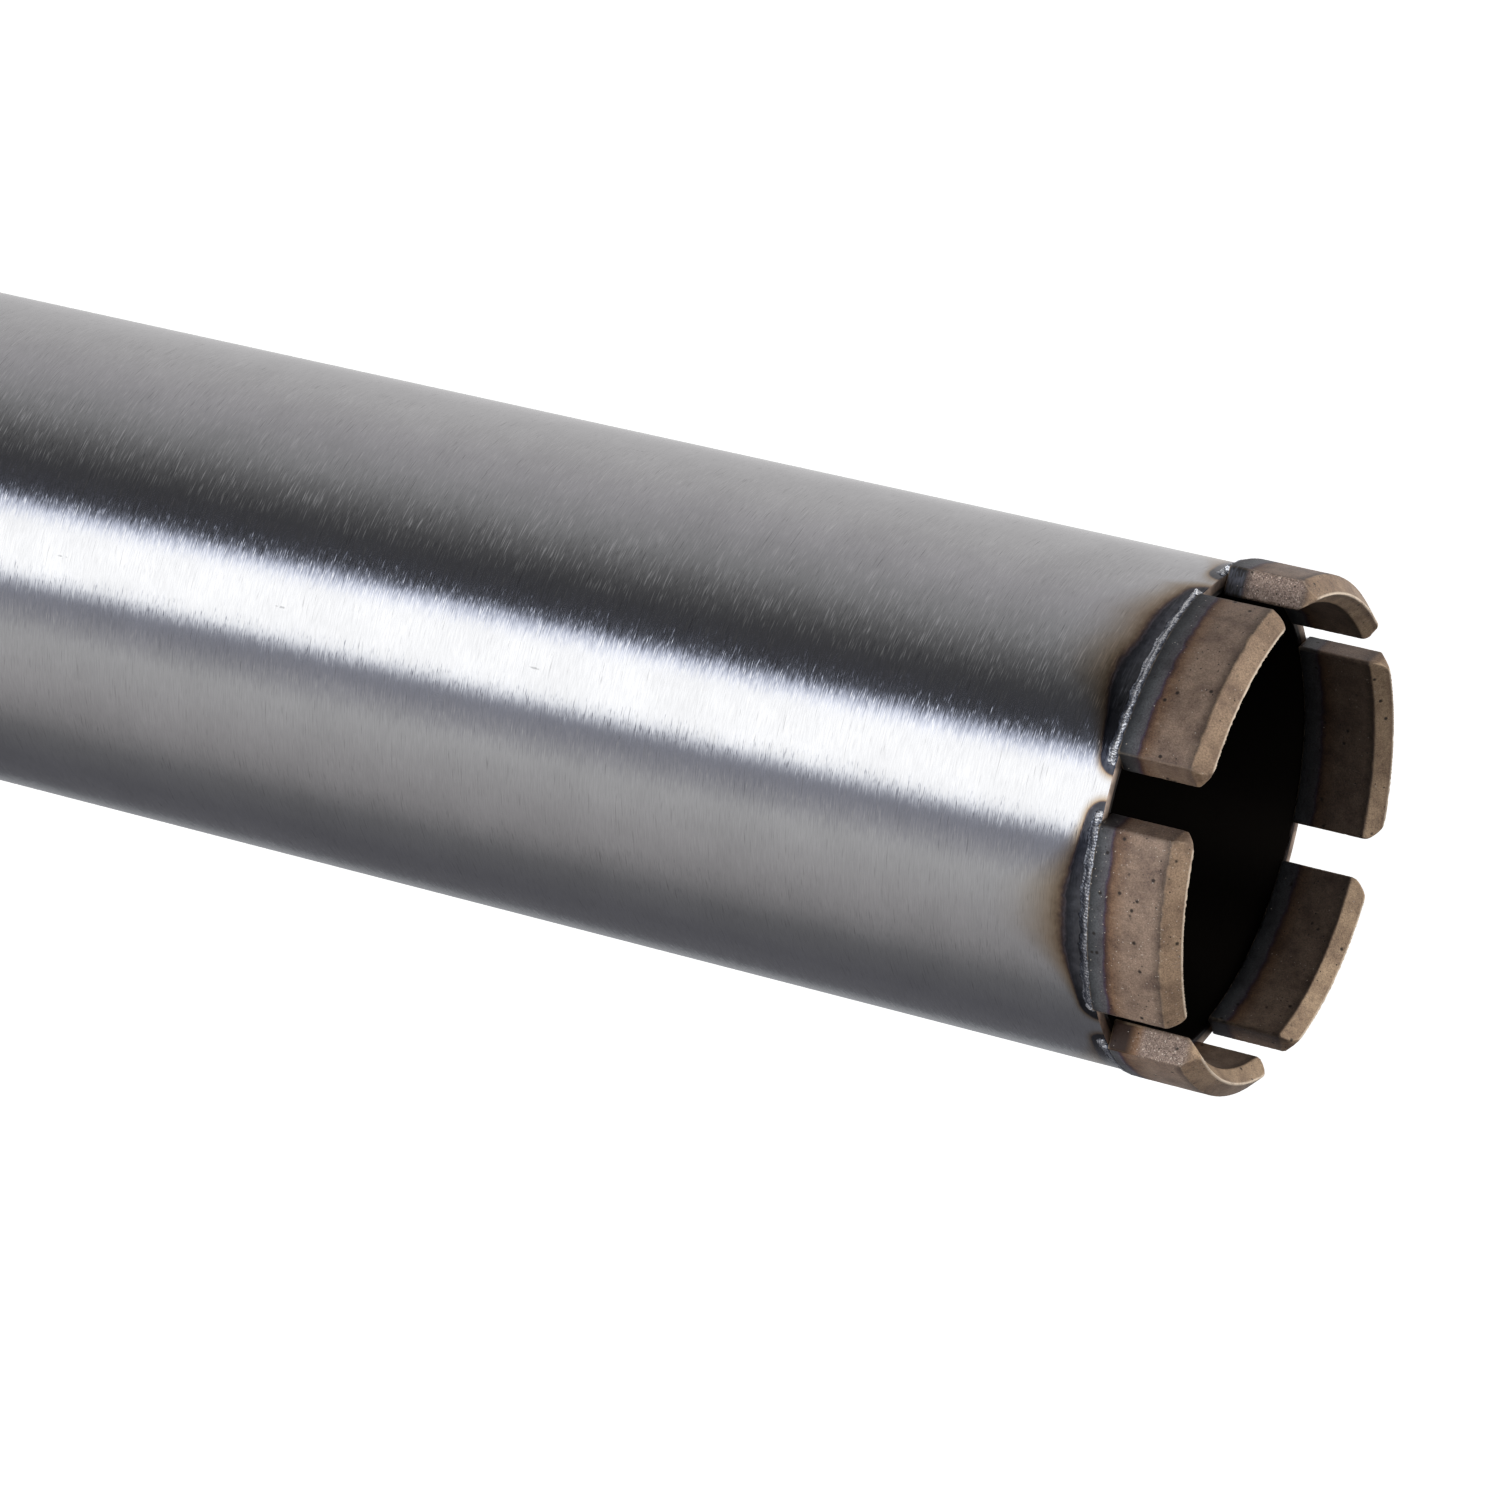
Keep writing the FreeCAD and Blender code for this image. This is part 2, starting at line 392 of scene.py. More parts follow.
def powder_sides(graph, body, local, skin):
    """Painted light on the roof's inner slope, painted shade on the inner side, and the tone of the end
    faces.
    """
    radius = off_axis(graph, local)
    above = graph.split(local)[2]
    ridge_radius = crown_radius - 2.05
    # Painted light: the roof's inner slope is made paler where light falls on it.
    slope = graph.math("MULTIPLY", graph.range(radius, ridge_radius, ridge_radius - 0.25),
                       graph.range(above, segment_shoulder - 0.05, segment_shoulder + 0.2))
    body = graph.mix(slope, body, srgb(192, 164, 134))
    # Painted shade: the inner side, shadowed inside the crown, is made darker.
    inner_radius = crown_radius - segment_thickness
    inner_side_painted_shade = graph.math("MULTIPLY", graph.range(radius, inner_radius + 0.5, inner_radius + 0.3),
                            graph.range(above, segment_shoulder + 0.1, segment_shoulder - 0.1))
    body = graph.mix(inner_side_painted_shade, body, graph.tinted(body, grey(0.75)))
    return graph.mix(skin, body, graph.tinted(body, (0.66, 0.63, 0.60, 1.0)))


def powder_marks(graph, body, place, local, level, grain):
    """Pale strokes up the sides, dark stains and the dark of the grain."""
    parts = graph.split(local)
    stroke = graph.join(graph.math("MULTIPLY", parts[0], 3.0), 0.0, graph.math("MULTIPLY", parts[2], 0.5))
    strokes = graph.range(graph.noise(stroke, 1.0, 3.0, 0.6), 0.6, 0.72, 0.0, 0.3)
    strokes = graph.math("MULTIPLY", strokes, graph.range(level, 2.8, 3.6))
    body = graph.mix(strokes, body, srgb(190, 172, 156))
    stain = graph.noise(place, 0.33, 5.0, 0.7)
    stained = graph.tinted(body, (0.52, 0.49, 0.50, 1.0))
    body = graph.mix(graph.range(stain, 0.42, 0.68), body, stained)
    return graph.mix(graph.range(grain, 0.34, 0.6), graph.tinted(body, grey(0.5)), body)


def rough_grain(graph, body, place, grit):
    """Coarse crystals on an end face, as strong as its grit; past a grit of 1 they are also made paler as
    painted light.
    """
    crystals = graph.add("TexVoronoi", {"Vector": place, "Scale": 7.5, "Randomness": 1.0})
    coarse = graph.ramp(graph.split(crystals.outputs["Color"])[0], (
        (0.0, srgb(92, 78, 71)),
        (0.45, srgb(128, 111, 101)),
        (0.8, srgb(147, 129, 117)),
        (0.96, srgb(160, 143, 131)),
        (0.985, srgb(196, 184, 172)),
    ))
    # Painted light: grit above 1 brightens the crystals, which only the sixth segment's end faces have.
    coarse = graph.scaled(coarse, graph.range(grit, 1.0, 1.3, 1.0, 1.5))
    return graph.mix(grit, body, coarse)


def rough_foot(graph, body, local, level, skin, lower):
    """The foot of a rough end face: streaks of weld metal, a tan band and a scorch."""
    parts = graph.split(local)
    rough = graph.attribute("rough")
    run = graph.join(0.0, graph.math("MULTIPLY", parts[1], 0.7), graph.math("MULTIPLY", parts[2], 3.2))
    runs = graph.ramp(graph.noise(run, 1.0, 2.0, 0.6), ((0.42, srgb(16, 16, 19)), (0.66, srgb(96, 99, 111))))
    splashed = graph.math("MULTIPLY", skin, rough)
    splashed = graph.math("MULTIPLY", splashed, graph.range(level, 2.4, 2.0, 0.0, 0.8))
    body = graph.mix(splashed, body, runs)
    scorch = graph.math("MULTIPLY", graph.math("MULTIPLY", skin, lower), graph.range(parts[2], 4.4, 1.8))
    tanned = graph.math("MULTIPLY", rough, graph.range(scorch, 0.01, 0.24, 0.0, 0.6))
    body = graph.mix(tanned, body, srgb(132, 92, 52))
    return graph.mix(graph.math("MINIMUM", scorch, 0.95), body, srgb(26, 13, 9))


def worn_edges_and_ridge_highlight(graph, body, place, above):
    """Edges rubbed pale in patches, and the roof's ridge pale in patches: wear there, with a painted
    highlight.
    """
    patches = graph.noise(place, 0.8, 3.0, 0.6)
    worn = graph.math("MULTIPLY", graph.attribute("edge"), graph.range(patches, 0.4, 0.65, 0.15, 1.0))
    body = graph.mix(graph.math("MULTIPLY", worn, 0.45), body, srgb(206, 184, 156))
    # The ridge's pale colour is wear and also a painted highlight.
    ridge = graph.math("MULTIPLY", graph.range(above, ridge_start, ridge_full),
                       graph.range(patches, 0.3, 0.5, 0.35, 0.9))
    return graph.mix(ridge, body, srgb(222, 204, 182))


def sintered():
    """Pressed and sintered metal powder: brown, with a grey foot, pores and grit."""
    graph = new_graph("sintered_segment")
    place = graph.place()
    local = graph.attribute("local", "Vector")
    parts = graph.split(local)
    above = parts[2]
    grit = graph.attribute("grit")
    lower = graph.math("MULTIPLY", graph.attribute("lower"), graph.range(above, 5.0, 2.5))
    level = graph.math("ADD", above, graph.swing(graph.noise(place, 0.6, 4.0, 0.6), 0.9))
    level = graph.math("ADD", level, lower)
    half = segment_length / 2.0
    skin = graph.range(graph.math("ABSOLUTE", parts[0]), half - 0.35, half - 0.2)
    grain = graph.noise(place, 5.0, 4.0, 0.75)

    body = powder_colours(graph, level)
    body = powder_sides(graph, body, local, skin)
    body = powder_marks(graph, body, place, local, level, grain)
    body = rough_grain(graph, body, place, grit)
    body = rough_foot(graph, body, local, level, skin, lower)
    pores = graph.math("MAXIMUM", spots(graph, place, 0.62, 0.3, 0.5), spots(graph, place, 1.5, 0.13, 0.2))
    body = graph.mix(graph.math("MULTIPLY", pores, 0.92), body, srgb(26, 20, 17))
    speckled = graph.math("ADD", graph.math("MULTIPLY", grit, 0.14), graph.attribute("specks"))
    # Bright specks: grains with a painted glint, which also get less roughness and a bump.
    specks_with_painted_glint = spots(graph, place, 2.2, 0.075, speckled)
    body = graph.mix(graph.math("MULTIPLY", specks_with_painted_glint, 0.8), body, srgb(226, 216, 204))
    body = worn_edges_and_ridge_highlight(graph, body, place, above)
    # Each segment's brightness: partly painted light, where a segment is made brighter for the light that
    # falls on it.
    body = graph.scaled(body, graph.attribute("tone_and_painted_light"))

    height = graph.math("SUBTRACT", graph.math("ADD", grain, graph.math("MULTIPLY", specks_with_painted_glint, 0.8)), pores)
    bump = graph.add("Bump", {"Height": height, "Strength": 0.5, "Distance": 0.00006})
    shader = graph.add("BsdfPrincipled", {
        "Base Color": body,
        "Metallic": 0.3,
        "Roughness": graph.range(specks_with_painted_glint, 0.0, 1.0, 0.46, 0.2),
        "Normal": bump.outputs[0],
    })
    return graph.finish(shader.outputs[0])


def weld_metal():
    """Bare weld metal with painted highlights on the crests of its ripples, and darker in its grooves."""
    graph = new_graph("weld_metal")
    fine = graph.noise(graph.place(), 4.0, 3.0, 0.65)
    # The crest attribute holds a painted highlight; where it is low the colour is dark.
    level = graph.math("MULTIPLY", graph.attribute("crest"), graph.range(fine, 0.4, 0.58, 0.4, 1.35))
    colour = graph.ramp(level, (
        (0.06, (0.035, 0.036, 0.042)),
        (0.25, (0.10, 0.11, 0.14)),
        (0.55, (0.34, 0.36, 0.40)),
        (0.9, (0.86, 0.87, 0.88)),
    ))
    bump = graph.add("Bump", {"Height": fine, "Strength": 0.6, "Distance": 0.00014})
    shader = graph.add("BsdfPrincipled", {
        "Base Color": colour,
        "Metallic": 1.0,
        "Roughness": graph.range(level, 0.2, 0.8, 0.5, 0.26),
        "Normal": bump.outputs[0],
    })
    return graph.finish(shader.outputs[0])


def turned_steel():
    """Steel from the lathe and the mill: fine rings of tool marks and faint oil stains."""
    graph = new_graph("turned_steel")
    place = graph.place()
    height = graph.split(place)[2]
    rings = graph.noise(graph.scaled(graph.join(off_axis(graph, place), height, 0.0), 3.2), 1.0, 2.0, 0.6)
    stain = graph.noise(place, 0.09, 4.0, 0.6)
    steel = graph.ramp(rings, ((0.3, grey(0.30)), (0.7, grey(0.48))))
    colour = graph.mix(graph.range(stain, 0.5, 0.75, 0.0, 0.35), steel, srgb(120, 108, 94))
    bump = graph.add("Bump", {"Height": rings, "Strength": 0.25, "Distance": 0.0001})
    shader = graph.add("BsdfPrincipled", {
        "Base Color": colour,
        "Metallic": 1.0,
        "Roughness": graph.range(stain, 0.3, 0.7, 0.30, 0.36),
        "Normal": bump.outputs[0],
    })
    return graph.finish(shader.outputs[0])


def dress(node, material):
    """Gives a node of the frame its material."""
    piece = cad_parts[node]
    piece.data.materials.clear()
    piece.data.materials.append(material)


def cell_noise(points, scale, seed):
    """Smooth noise from 0 to 1 at points in millimetres, with a cell of 1 / scale."""
    place = np.asarray(points) * scale + seed * 17.31
    corner = np.floor(place).astype(np.int64)
    share = place - corner
    share = share * share * (3.0 - 2.0 * share)
    total = np.zeros(len(place))
    for x in (0, 1):
        for y in (0, 1):
            for z in (0, 1):
                spot = corner + (x, y, z)
                mixed = spot[:, 0] * 73856093 ^ spot[:, 1] * 19349663 ^ spot[:, 2] * 83492791
                mixed = (mixed ^ (mixed >> 13)) * 1274126177 & 0x7FFFFFFF
                value = (mixed % 65536) / 65535.0
                for axis, side in enumerate((x, y, z)):
                    value = value * np.abs(1 - side - share[:, axis])
                total += value
    return total


def new_piece(name, mesh, material):
    """A piece of the bit made from a mesh in metres, riding on the only body."""
    mesh.materials.clear()
    mesh.materials.append(material)
    piece = bpy.data.objects.new(name, mesh)
    bpy.context.scene.collection.objects.link(piece)
    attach(piece, "root")
    return piece


def mesh_from(name, points, faces):
    """A smooth-shaded mesh from points in millimetres."""
    mesh = bpy.data.meshes.new(name)
    mesh.from_pydata((np.asarray(points) * MM).tolist(), [], faces)
    mesh.validate()
    mesh.shade_smooth()
    return mesh


def point_values(mesh, name, values):
    """Stores one number for each point of a mesh, for its material."""
    layer = mesh.attributes.new(name, "FLOAT", "POINT")
    layer.data.foreach_set("value", np.asarray(values, dtype=np.float32))


def read_vectors(items, name):
    """A vector that each item of a mesh holds, in rows of three."""
    numbers = np.empty(len(items) * 3, dtype=np.float32)
    items.foreach_get(name, numbers)
    return numbers.reshape(-1, 3).astype(float)


def remeshed(node, name, cell, passes):
    """A copy of a node's form in even small faces of a size in millimetres, with softened edges."""
    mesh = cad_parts[node].data.copy()
    mesh.name = name
    mesh.transform(Matrix.Scale(1.0 / MM, 4))
    worker = bpy.data.objects.new(name + "_form", mesh)
    bpy.context.scene.collection.objects.link(worker)
    grid = worker.modifiers.new("grid", "REMESH")
    grid.mode = "VOXEL"
    grid.voxel_size = cell
    soften = worker.modifiers.new("soften", "SMOOTH")
    soften.iterations = passes
    soften.factor = 0.5
    graph = bpy.context.evaluated_depsgraph_get()
    form = bpy.data.meshes.new_from_object(worker.evaluated_get(graph))
    form.name = name
    bpy.data.objects.remove(worker)
    return form


def neighbour_means(mesh, values, rounds):
    """Each point's value as the mean of its neighbours' values, over a number of rounds."""
    pairs = np.empty(len(mesh.edges) * 2, dtype=np.int32)
    mesh.edges.foreach_get("vertices", pairs)
    pairs = pairs.reshape(-1, 2)
    count = np.bincount(pairs.ravel(), minlength=len(mesh.vertices)).astype(float)
    for _ in range(rounds):
        total = np.zeros_like(values)
        for near, far in ((0, 1), (1, 0)):
            for axis in range(values.shape[1]):
                total[:, axis] += np.bincount(pairs[:, near], values[pairs[:, far], axis],
                                              minlength=len(values))
        values = total / count[:, None]
    return values


def segment_piece(number, material):
    """One sintered segment: the node's form with soft, slightly chipped edges and grainy ends."""
    node = "segment_%d" % number
    index = number - 1
    grit = segment_grit[index]
    form = remeshed(node, node + "_look", cell=0.13, passes=4)
    points = read_vectors(form.vertices, "co")
    normals = read_vectors(form.vertex_normals, "vector")
    around = math.radians(segment_turns[index])
    radial = points[:, 0] * math.cos(around) + points[:, 1] * math.sin(around)
    sideways = points[:, 1] * math.cos(around) - points[:, 0] * math.sin(around)
    above = points[:, 2] - foot_z
    mean = neighbour_means(form, points, rounds=3)
    hollow = np.einsum("ij,ij->i", mean - points, normals)
    edge = np.clip((-hollow - 0.012) / 0.03, 0.0, 1.0)

    end_face = np.clip((np.abs(sideways) - segment_length / 2.0 + 0.5) / 0.4, 0.0, 1.0)
    end_face *= np.clip((above - 2.2) / 1.0, 0.0, 1.0) * np.clip((10.6 - above) / 1.2, 0.0, 1.0)
    lumps = cell_noise(points, 1.1, number)
    grains = cell_noise(points, 4.6, number + 20)
    chips = np.clip(cell_noise(points, 1.7, number + 40) - 0.66, 0.0, 1.0)
    depth = 0.02 * lumps + (0.006 + 0.07 * end_face * grit) * grains + 0.5 * edge * chips
    points -= normals * depth[:, None]

    form.vertices.foreach_set("co", (points * MM).astype(np.float32).ravel())
    form.update()
    form.shade_smooth()
    point_values(form, "edge", edge)
    point_values(form, "grit", end_face * grit)
    rough = min(max(grit - 0.3, 0.0) / 0.7, 1.0)
    for name, value in (("rough", rough), ("lower", -foot_moves[index]),
                        ("tone_and_painted_light", segment_tones_and_painted_light[index]), ("specks", segment_specks[index])):
        point_values(form, name, np.full(len(points), value))
    local = form.attributes.new("local", "FLOAT_VECTOR", "POINT")
    local.data.foreach_set("vector", np.stack([sideways, radial, above], 1).astype(np.float32).ravel())
    piece = new_piece(node + "_look", form, material)
    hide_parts(node)


def swept(sections, closed):
    """Faces between rows of points: each row is a closed section, and the rows may close too."""
    rows = len(sections)
    width = len(sections[0])
    points = np.concatenate(sections)
    faces = []
    for row in range(rows if closed else rows - 1):
        here = row * width
        after = (row + 1) % rows * width
        for spot in range(width):
            beside = (spot + 1) % width
            faces.append((here + spot, here + beside, after + beside, after + spot))
    if not closed:
        faces.append(tuple(range(width - 1, -1, -1)))
        faces.append(tuple(range((rows - 1) * width, rows * width)))
    return points, faces


def at_angle(radius, height, angle):
    """Points from radii and heights at an angle round the axis, or each at its own angle."""
    return np.stack([radius * np.cos(angle), radius * np.sin(angle), height], 1)


def bell(value, middle, width):
    """A bell curve, 1 at its middle."""
    return np.exp(-((value - middle) / width) ** 2)


def bead_section(number, outer, half_arc, across, along):
    """A bead's section and its painted highlight, so far along the rim from the segment's middle."""
    index = number - 1
    end = int(along > 0.0)
    middle, width, above_foot, gloss = bead_forms[index]
    left = bead_ends[index][end] - (abs(along) - half_arc)
    fade = math.sqrt(max(1.0 - max(1.0 - left / 0.8, 0.0) ** 2, 0.0))
    covered = min(max((half_arc - 0.15 - abs(along)) / 0.3, 0.0), 1.0)
    blob = bead_drops[index][end] * float(bell(left, 0.7, 0.6))
    toe = (1.45 + 0.1 * blob + 0.12 * math.sin(along * 1.7 + number)) * (0.35 + 0.65 * fade)
    wander = 0.18 * math.sin(along * 0.9 + number) + 0.1 * math.sin(along * 2.3 + 2.0 * number)
    faint = 0.45 + 0.4 * math.sin(0.35 * along + 1.9 * number)
    low_crest = faint * bell(across, 0.16 + 0.08 * wander, 0.11)
    lump = 1.0 + 0.25 * math.sin(along * 1.15 + 3.0 * number) * math.sin(along * 2.9 + number)
    high_crest = bell(across, middle + 0.08 * wander + 0.1 * (1.0 - fade), width * lump)
    ripple = np.sin(2.0 * math.pi * (along / 0.42 + 1.1 * np.abs(across - 0.55)) + wander * 9.0)
    rise = (0.04 + 0.12 * low_crest + 0.15 * high_crest + 0.36 * blob * bell(across, 0.62, 0.3)) * fade
    rise += 0.035 * ripple * (low_crest + high_crest + blob) * fade
    ease = across * across * (3.0 - 2.0 * across)
    radius = barrel_radius - 0.03 + (outer - barrel_radius - 0.02) * ease * covered
    radius = radius + rise * np.sin(math.pi * np.clip(across, 0.03, 0.97))
    top = (above_foot + 0.08) * covered - 0.08
    height = foot_z - toe + (toe + top) * across
    back_radius = [barrel_radius - 0.1 + (outer - barrel_radius - 0.4) * covered,
                   barrel_radius - 0.3, barrel_radius - 0.3]
    back_height = [foot_z + top - 0.02, foot_z - 0.1, foot_z - toe + 0.1]
    # Painted highlight: bright on the crests and the end drops, dark where it is low.
    painted_highlight = (0.8 * low_crest + 0.85 * high_crest + 0.2 * ripple * (low_crest + high_crest)) * gloss
    painted_highlight = np.clip(painted_highlight + 1.3 * blob * bell(across, 0.65, 0.35), 0.0, 1.0) * min(1.6 * fade, 1.0)
    angle = math.radians(segment_turns[index]) + along / outer
    section = at_angle(np.concatenate([radius, back_radius]), np.concatenate([height, back_height]), angle)
    return section, np.concatenate([painted_highlight, np.zeros(len(back_radius))])


def segment_bead(number, material):
    """A laser weld's bead: two rippled crests with a groove between, and a blob at each end."""
    step = 0.08
    first_end, last_end = bead_ends[number - 1]
    outer = crown_radius + segment_moves[number - 1]
    half_arc = outer * math.asin(segment_length / 2.0 / outer)
    across = np.linspace(0.0, 1.0, 22)
    sections = []
    crests = []
    for along in np.arange(-half_arc - first_end, half_arc + last_end + step / 2.0, step):
        section, painted_highlight = bead_section(number, outer, half_arc, across, along)
        sections.append(section)
        crests.append(painted_highlight)
    points, faces = swept(sections, False)
    rough = cell_noise(points, 2.6, number + 60) - 0.5
    centre = np.hypot(points[:, 0], points[:, 1])
    wanted = np.minimum(centre + 0.1 * rough, outer - 0.03)
    points[:, :2] *= (wanted / centre)[:, None]
    weld_piece("segment_weld_%d" % number, points, faces, crests, material)


def weld_piece(node, points, faces, crests, material):
    """A weld's piece, with the painted highlight of its crests, in place of its node."""
    mesh = mesh_from(node + "_look", points, faces)
    point_values(mesh, "crest", np.concatenate(crests))
    piece = new_piece(node + "_look", mesh, material)
    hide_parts(node)


def ring_bead(node, start, end, root, crown, pitch, material):
    """A rippled weld right round the axis, from start to end in (radius, height), over a root."""
    turns = 900
    across = np.linspace(0.0, 1.0, 20)
    start, end, root = (np.array(point) for point in (start, end, root))
    chord = end - start
    out = np.array([chord[1], -chord[0]]) / np.hypot(*chord)
    if np.dot(out, (start + end) / 2.0 - root) < 0.0:
        out = -out
    middle_radius = (start[0] + end[0]) / 2.0
    ripples = round(2.0 * math.pi * middle_radius / pitch)
    sections = []
    crests = []
    for angle in np.arange(turns) * 2.0 * math.pi / turns:
        lag = 0.9 * (across - 0.5) ** 2 * 4.0
        phase = ripples * angle / (2.0 * math.pi) + 0.5 * lag + 0.3 * math.sin(5.0 * angle)
        ripple = 1.0 - np.abs(2.0 * (phase % 1.0) - 1.0)
        swell = 1.0 + 0.15 * math.sin(3.0 * angle + 1.0) + 0.1 * math.sin(11.0 * angle)
        rise = np.sin(math.pi * across) * crown * (0.55 * swell + 0.35 * ripple)
        line = start[None, :] + across[:, None] * chord[None, :] + rise[:, None] * out[None, :]
        section = np.concatenate([line, root[None, :]])
        sections.append(at_angle(section[:, 0], section[:, 1], angle))
        # Painted highlight: brighter on each ripple's crest.
        crests.append(np.concatenate([0.27 + 0.36 * ripple, [0.0]]))
    points, faces = swept(sections, True)
    weld_piece(node, points, faces, crests, material)


def plate_bead(material):
    """The seam between the end plate and the tube, in the groove of their bevels."""
    middle = (seam_high[2] + seam_low[2]) / MM / 2.0
    start = (barrel_radius, middle - seam_leg)
    end = (barrel_radius, middle + seam_leg)
    root = (barrel_radius - seam_leg, middle)
    ring_bead("end_plate_weld", start, end, root, crown=0.3, pitch=1.1, material=material)


def hub_bead(material):
    """The fillet between the hub and the end plate."""
    low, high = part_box("hub_weld")
    outer = high[0] / MM
    leg = (high[2] - low[2]) / MM
    start = (outer - leg, low[2] / MM)
    root = (outer - leg, hub_top)
    ring_bead("hub_weld", start, (outer, hub_top), root, crown=0.4, pitch=1.3, material=material)


def barrel_piece(material):
    """The tube in fine steps round its axis, with its sharp edges just broken."""
    turns = 480
    broken = 0.12
    low = barrel_low[2] / MM
    inner = barrel_radius - barrel_wall
    profile = np.array([
        (inner, low),
        (barrel_radius - seam_leg, low),
        (barrel_radius, low + seam_leg),
        (barrel_radius, foot_z - broken),
        (barrel_radius - broken * 0.3, foot_z - broken * 0.3),
        (barrel_radius - broken, foot_z),
        (inner + broken, foot_z),
        (inner, foot_z - broken),
    ])
    angles = np.arange(turns) * 2.0 * math.pi / turns
    sections = [at_angle(profile[:, 0], profile[:, 1], angle) for angle in angles]
    points, faces = swept(sections, True)
    mesh = mesh_from("barrel_tube_look", points, faces)
    mesh.set_sharp_from_angle(angle=math.radians(15.0))
    piece = new_piece("barrel_tube_look", mesh, material)
    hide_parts("barrel_tube")


def thread_cutter(low, high):
    """A rod with a right-hand thread and the entry's cone, which cuts the hub's female thread."""
    turns = 96
    steps = 22
    rows = (math.ceil((high - low) / thread_pitch) + 2) * steps
    angles = np.arange(turns) * 2.0 * math.pi / turns
    sections = []
    for row in range(rows):
        tooth = 1.0 - abs(2.0 * (row % steps) / steps - 1.0)
        flank = thread_minor_radius + (thread_major_radius - thread_minor_radius) * (tooth - 0.14) / 0.86
        heights = low + (row / steps - 1.0 + angles / (2.0 * math.pi)) * thread_pitch
        radius = np.maximum(max(flank, thread_minor_radius - 0.25), thread_entry_radius - heights)
        sections.append(at_angle(radius, heights, angles))
    points = np.concatenate(sections)

    def spot(row, step):
        """The point that many steps round from a row's start: past a turn it's on a higher row."""
        return (row + step // turns * steps) * turns + step % turns

    faces = []
    for row in range(rows - 1):
        for step in range(turns):
            corners = (spot(row, step), spot(row, step + 1), spot(row + 1, step + 1), spot(row + 1, step))
            if max(corners) < len(points):
                faces.append(corners)
    last = rows - 1
    foot = [spot(0, step) for step in range(turns)] + [spot(row, 0) for row in range(steps, 0, -1)]
    head = [spot(row, turns - 1) for row in range(last - steps, last)]
    head += [spot(last, step) for step in range(turns - 1, -1, -1)]
    for loop, tip in ((foot, len(points)), (head, len(points) + 1)):
        for index, corner in enumerate(loop):
            faces.append((loop[(index + 1) % len(loop)], corner, tip))
    tips = [[0.0, 0.0, points[:, 2].min() - thread_pitch], [0.0, 0.0, points[:, 2].max() + thread_pitch]]
    points = np.concatenate([points, tips])
    mesh = bpy.data.meshes.new("thread_cutter")
    mesh.from_pydata((points * MM).tolist(), [], faces)
    return mesh


def hub_piece(material):
    """The hub with its thread cut, and its six flats shaded flat."""
    cutter = bpy.data.objects.new("thread_cutter", thread_cutter(-1.0, hub_top + 0.6))
    bpy.context.scene.collection.objects.link(cutter)
    worker = bpy.data.objects.new("hub_form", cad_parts["threaded_hub"].data.copy())
    bpy.context.scene.collection.objects.link(worker)
    cut = worker.modifiers.new("cut", "BOOLEAN")
    cut.operation = "DIFFERENCE"
    cut.solver = "EXACT"
    cut.object = cutter
    graph = bpy.context.evaluated_depsgraph_get()
    form = bpy.data.meshes.new_from_object(worker.evaluated_get(graph))
    form.name = "threaded_hub_look"
    bpy.data.objects.remove(worker)
    bpy.data.objects.remove(cutter)
    form.shade_smooth()
    form.set_sharp_from_angle(angle=math.radians(28.0))
    smallest_flat = 1e-6
    for face in form.polygons:
        if abs(face.normal.z) < 1e-4:
            turn = math.degrees(math.atan2(face.normal.y, face.normal.x)) % 60.0
            on_flat = min(turn, 60.0 - turn) < 0.05
            face.use_smooth = not (on_flat and face.area > smallest_flat)
    piece = new_piece("threaded_hub_look", form, material)
    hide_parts("threaded_hub")


def set_camera():
    """The camera at the photograph's viewing angle."""
    data = bpy.data.cameras.new("camera")
    data.sensor_width = 36.0
    data.lens = camera_lens
    data.clip_start = 0.01
    data.clip_end = 50.0
    camera = bpy.data.objects.new("camera", data)
    bpy.context.scene.collection.objects.link(camera)
    level = camera_ahead.to_track_quat("-Z", "Y").to_matrix()
    rolled = level @ Matrix.Rotation(math.radians(camera_roll), 3, "Z")
    camera.matrix_world = Matrix.Translation(camera_place) @ rolled.to_4x4()
    bpy.context.scene.camera = camera


def stage_object(name, vertices, faces, material):
    """A mesh that belongs to the studio and not to the bit."""
    mesh = bpy.data.meshes.new(name)
    mesh.from_pydata(vertices, [], faces)
    mesh.materials.append(material)
    thing = bpy.data.objects.new(name, mesh)
    bpy.context.scene.collection.objects.link(thing)
    return thing


def seen_rays(graph):
    """1 where the eye looks, also in gloss or through glass, and 0 for light that only falls."""
    path = graph.add("LightPath").outputs
    seen = graph.math("MAXIMUM", path["Is Camera Ray"], path["Is Glossy Ray"])
    return graph.math("MAXIMUM", seen, path["Is Transmission Ray"])


def white_floor():
    """A pale floor that shows white where nothing shades it."""
    graph = new_graph("floor_white")
    from_bit = graph.vector("LENGTH", graph.add("TexCoord").outputs["Object"])
    level = graph.math("ADD", graph.range(from_bit, 0.1, 0.9, 0.42, 0.85),
                       graph.range(from_bit, 0.9, 2.5, 0.0, 0.1))
    strength = graph.math("MULTIPLY", seen_rays(graph), level)
    glow = graph.add("Emission", {"Color": grey(1.0), "Strength": strength})
    matt = graph.add("BsdfDiffuse", {"Color": grey(0.86)})
    both = graph.add("AddShader", {0: glow.outputs[0], 1: matt.outputs[0]})
    material = graph.finish(both.outputs[0])
    half = 6.0
    stage_object("floor", [(-half, -half, 0), (half, -half, 0), (half, half, 0), (-half, half, 0)],
                 [(0, 1, 2, 3)], material)


def seen_only_in_gloss(thing):
    """Hides a card from all rays but the gloss's."""
    thing.visible_camera = False
    thing.visible_diffuse = False
    thing.visible_shadow = False
    thing.visible_transmission = False


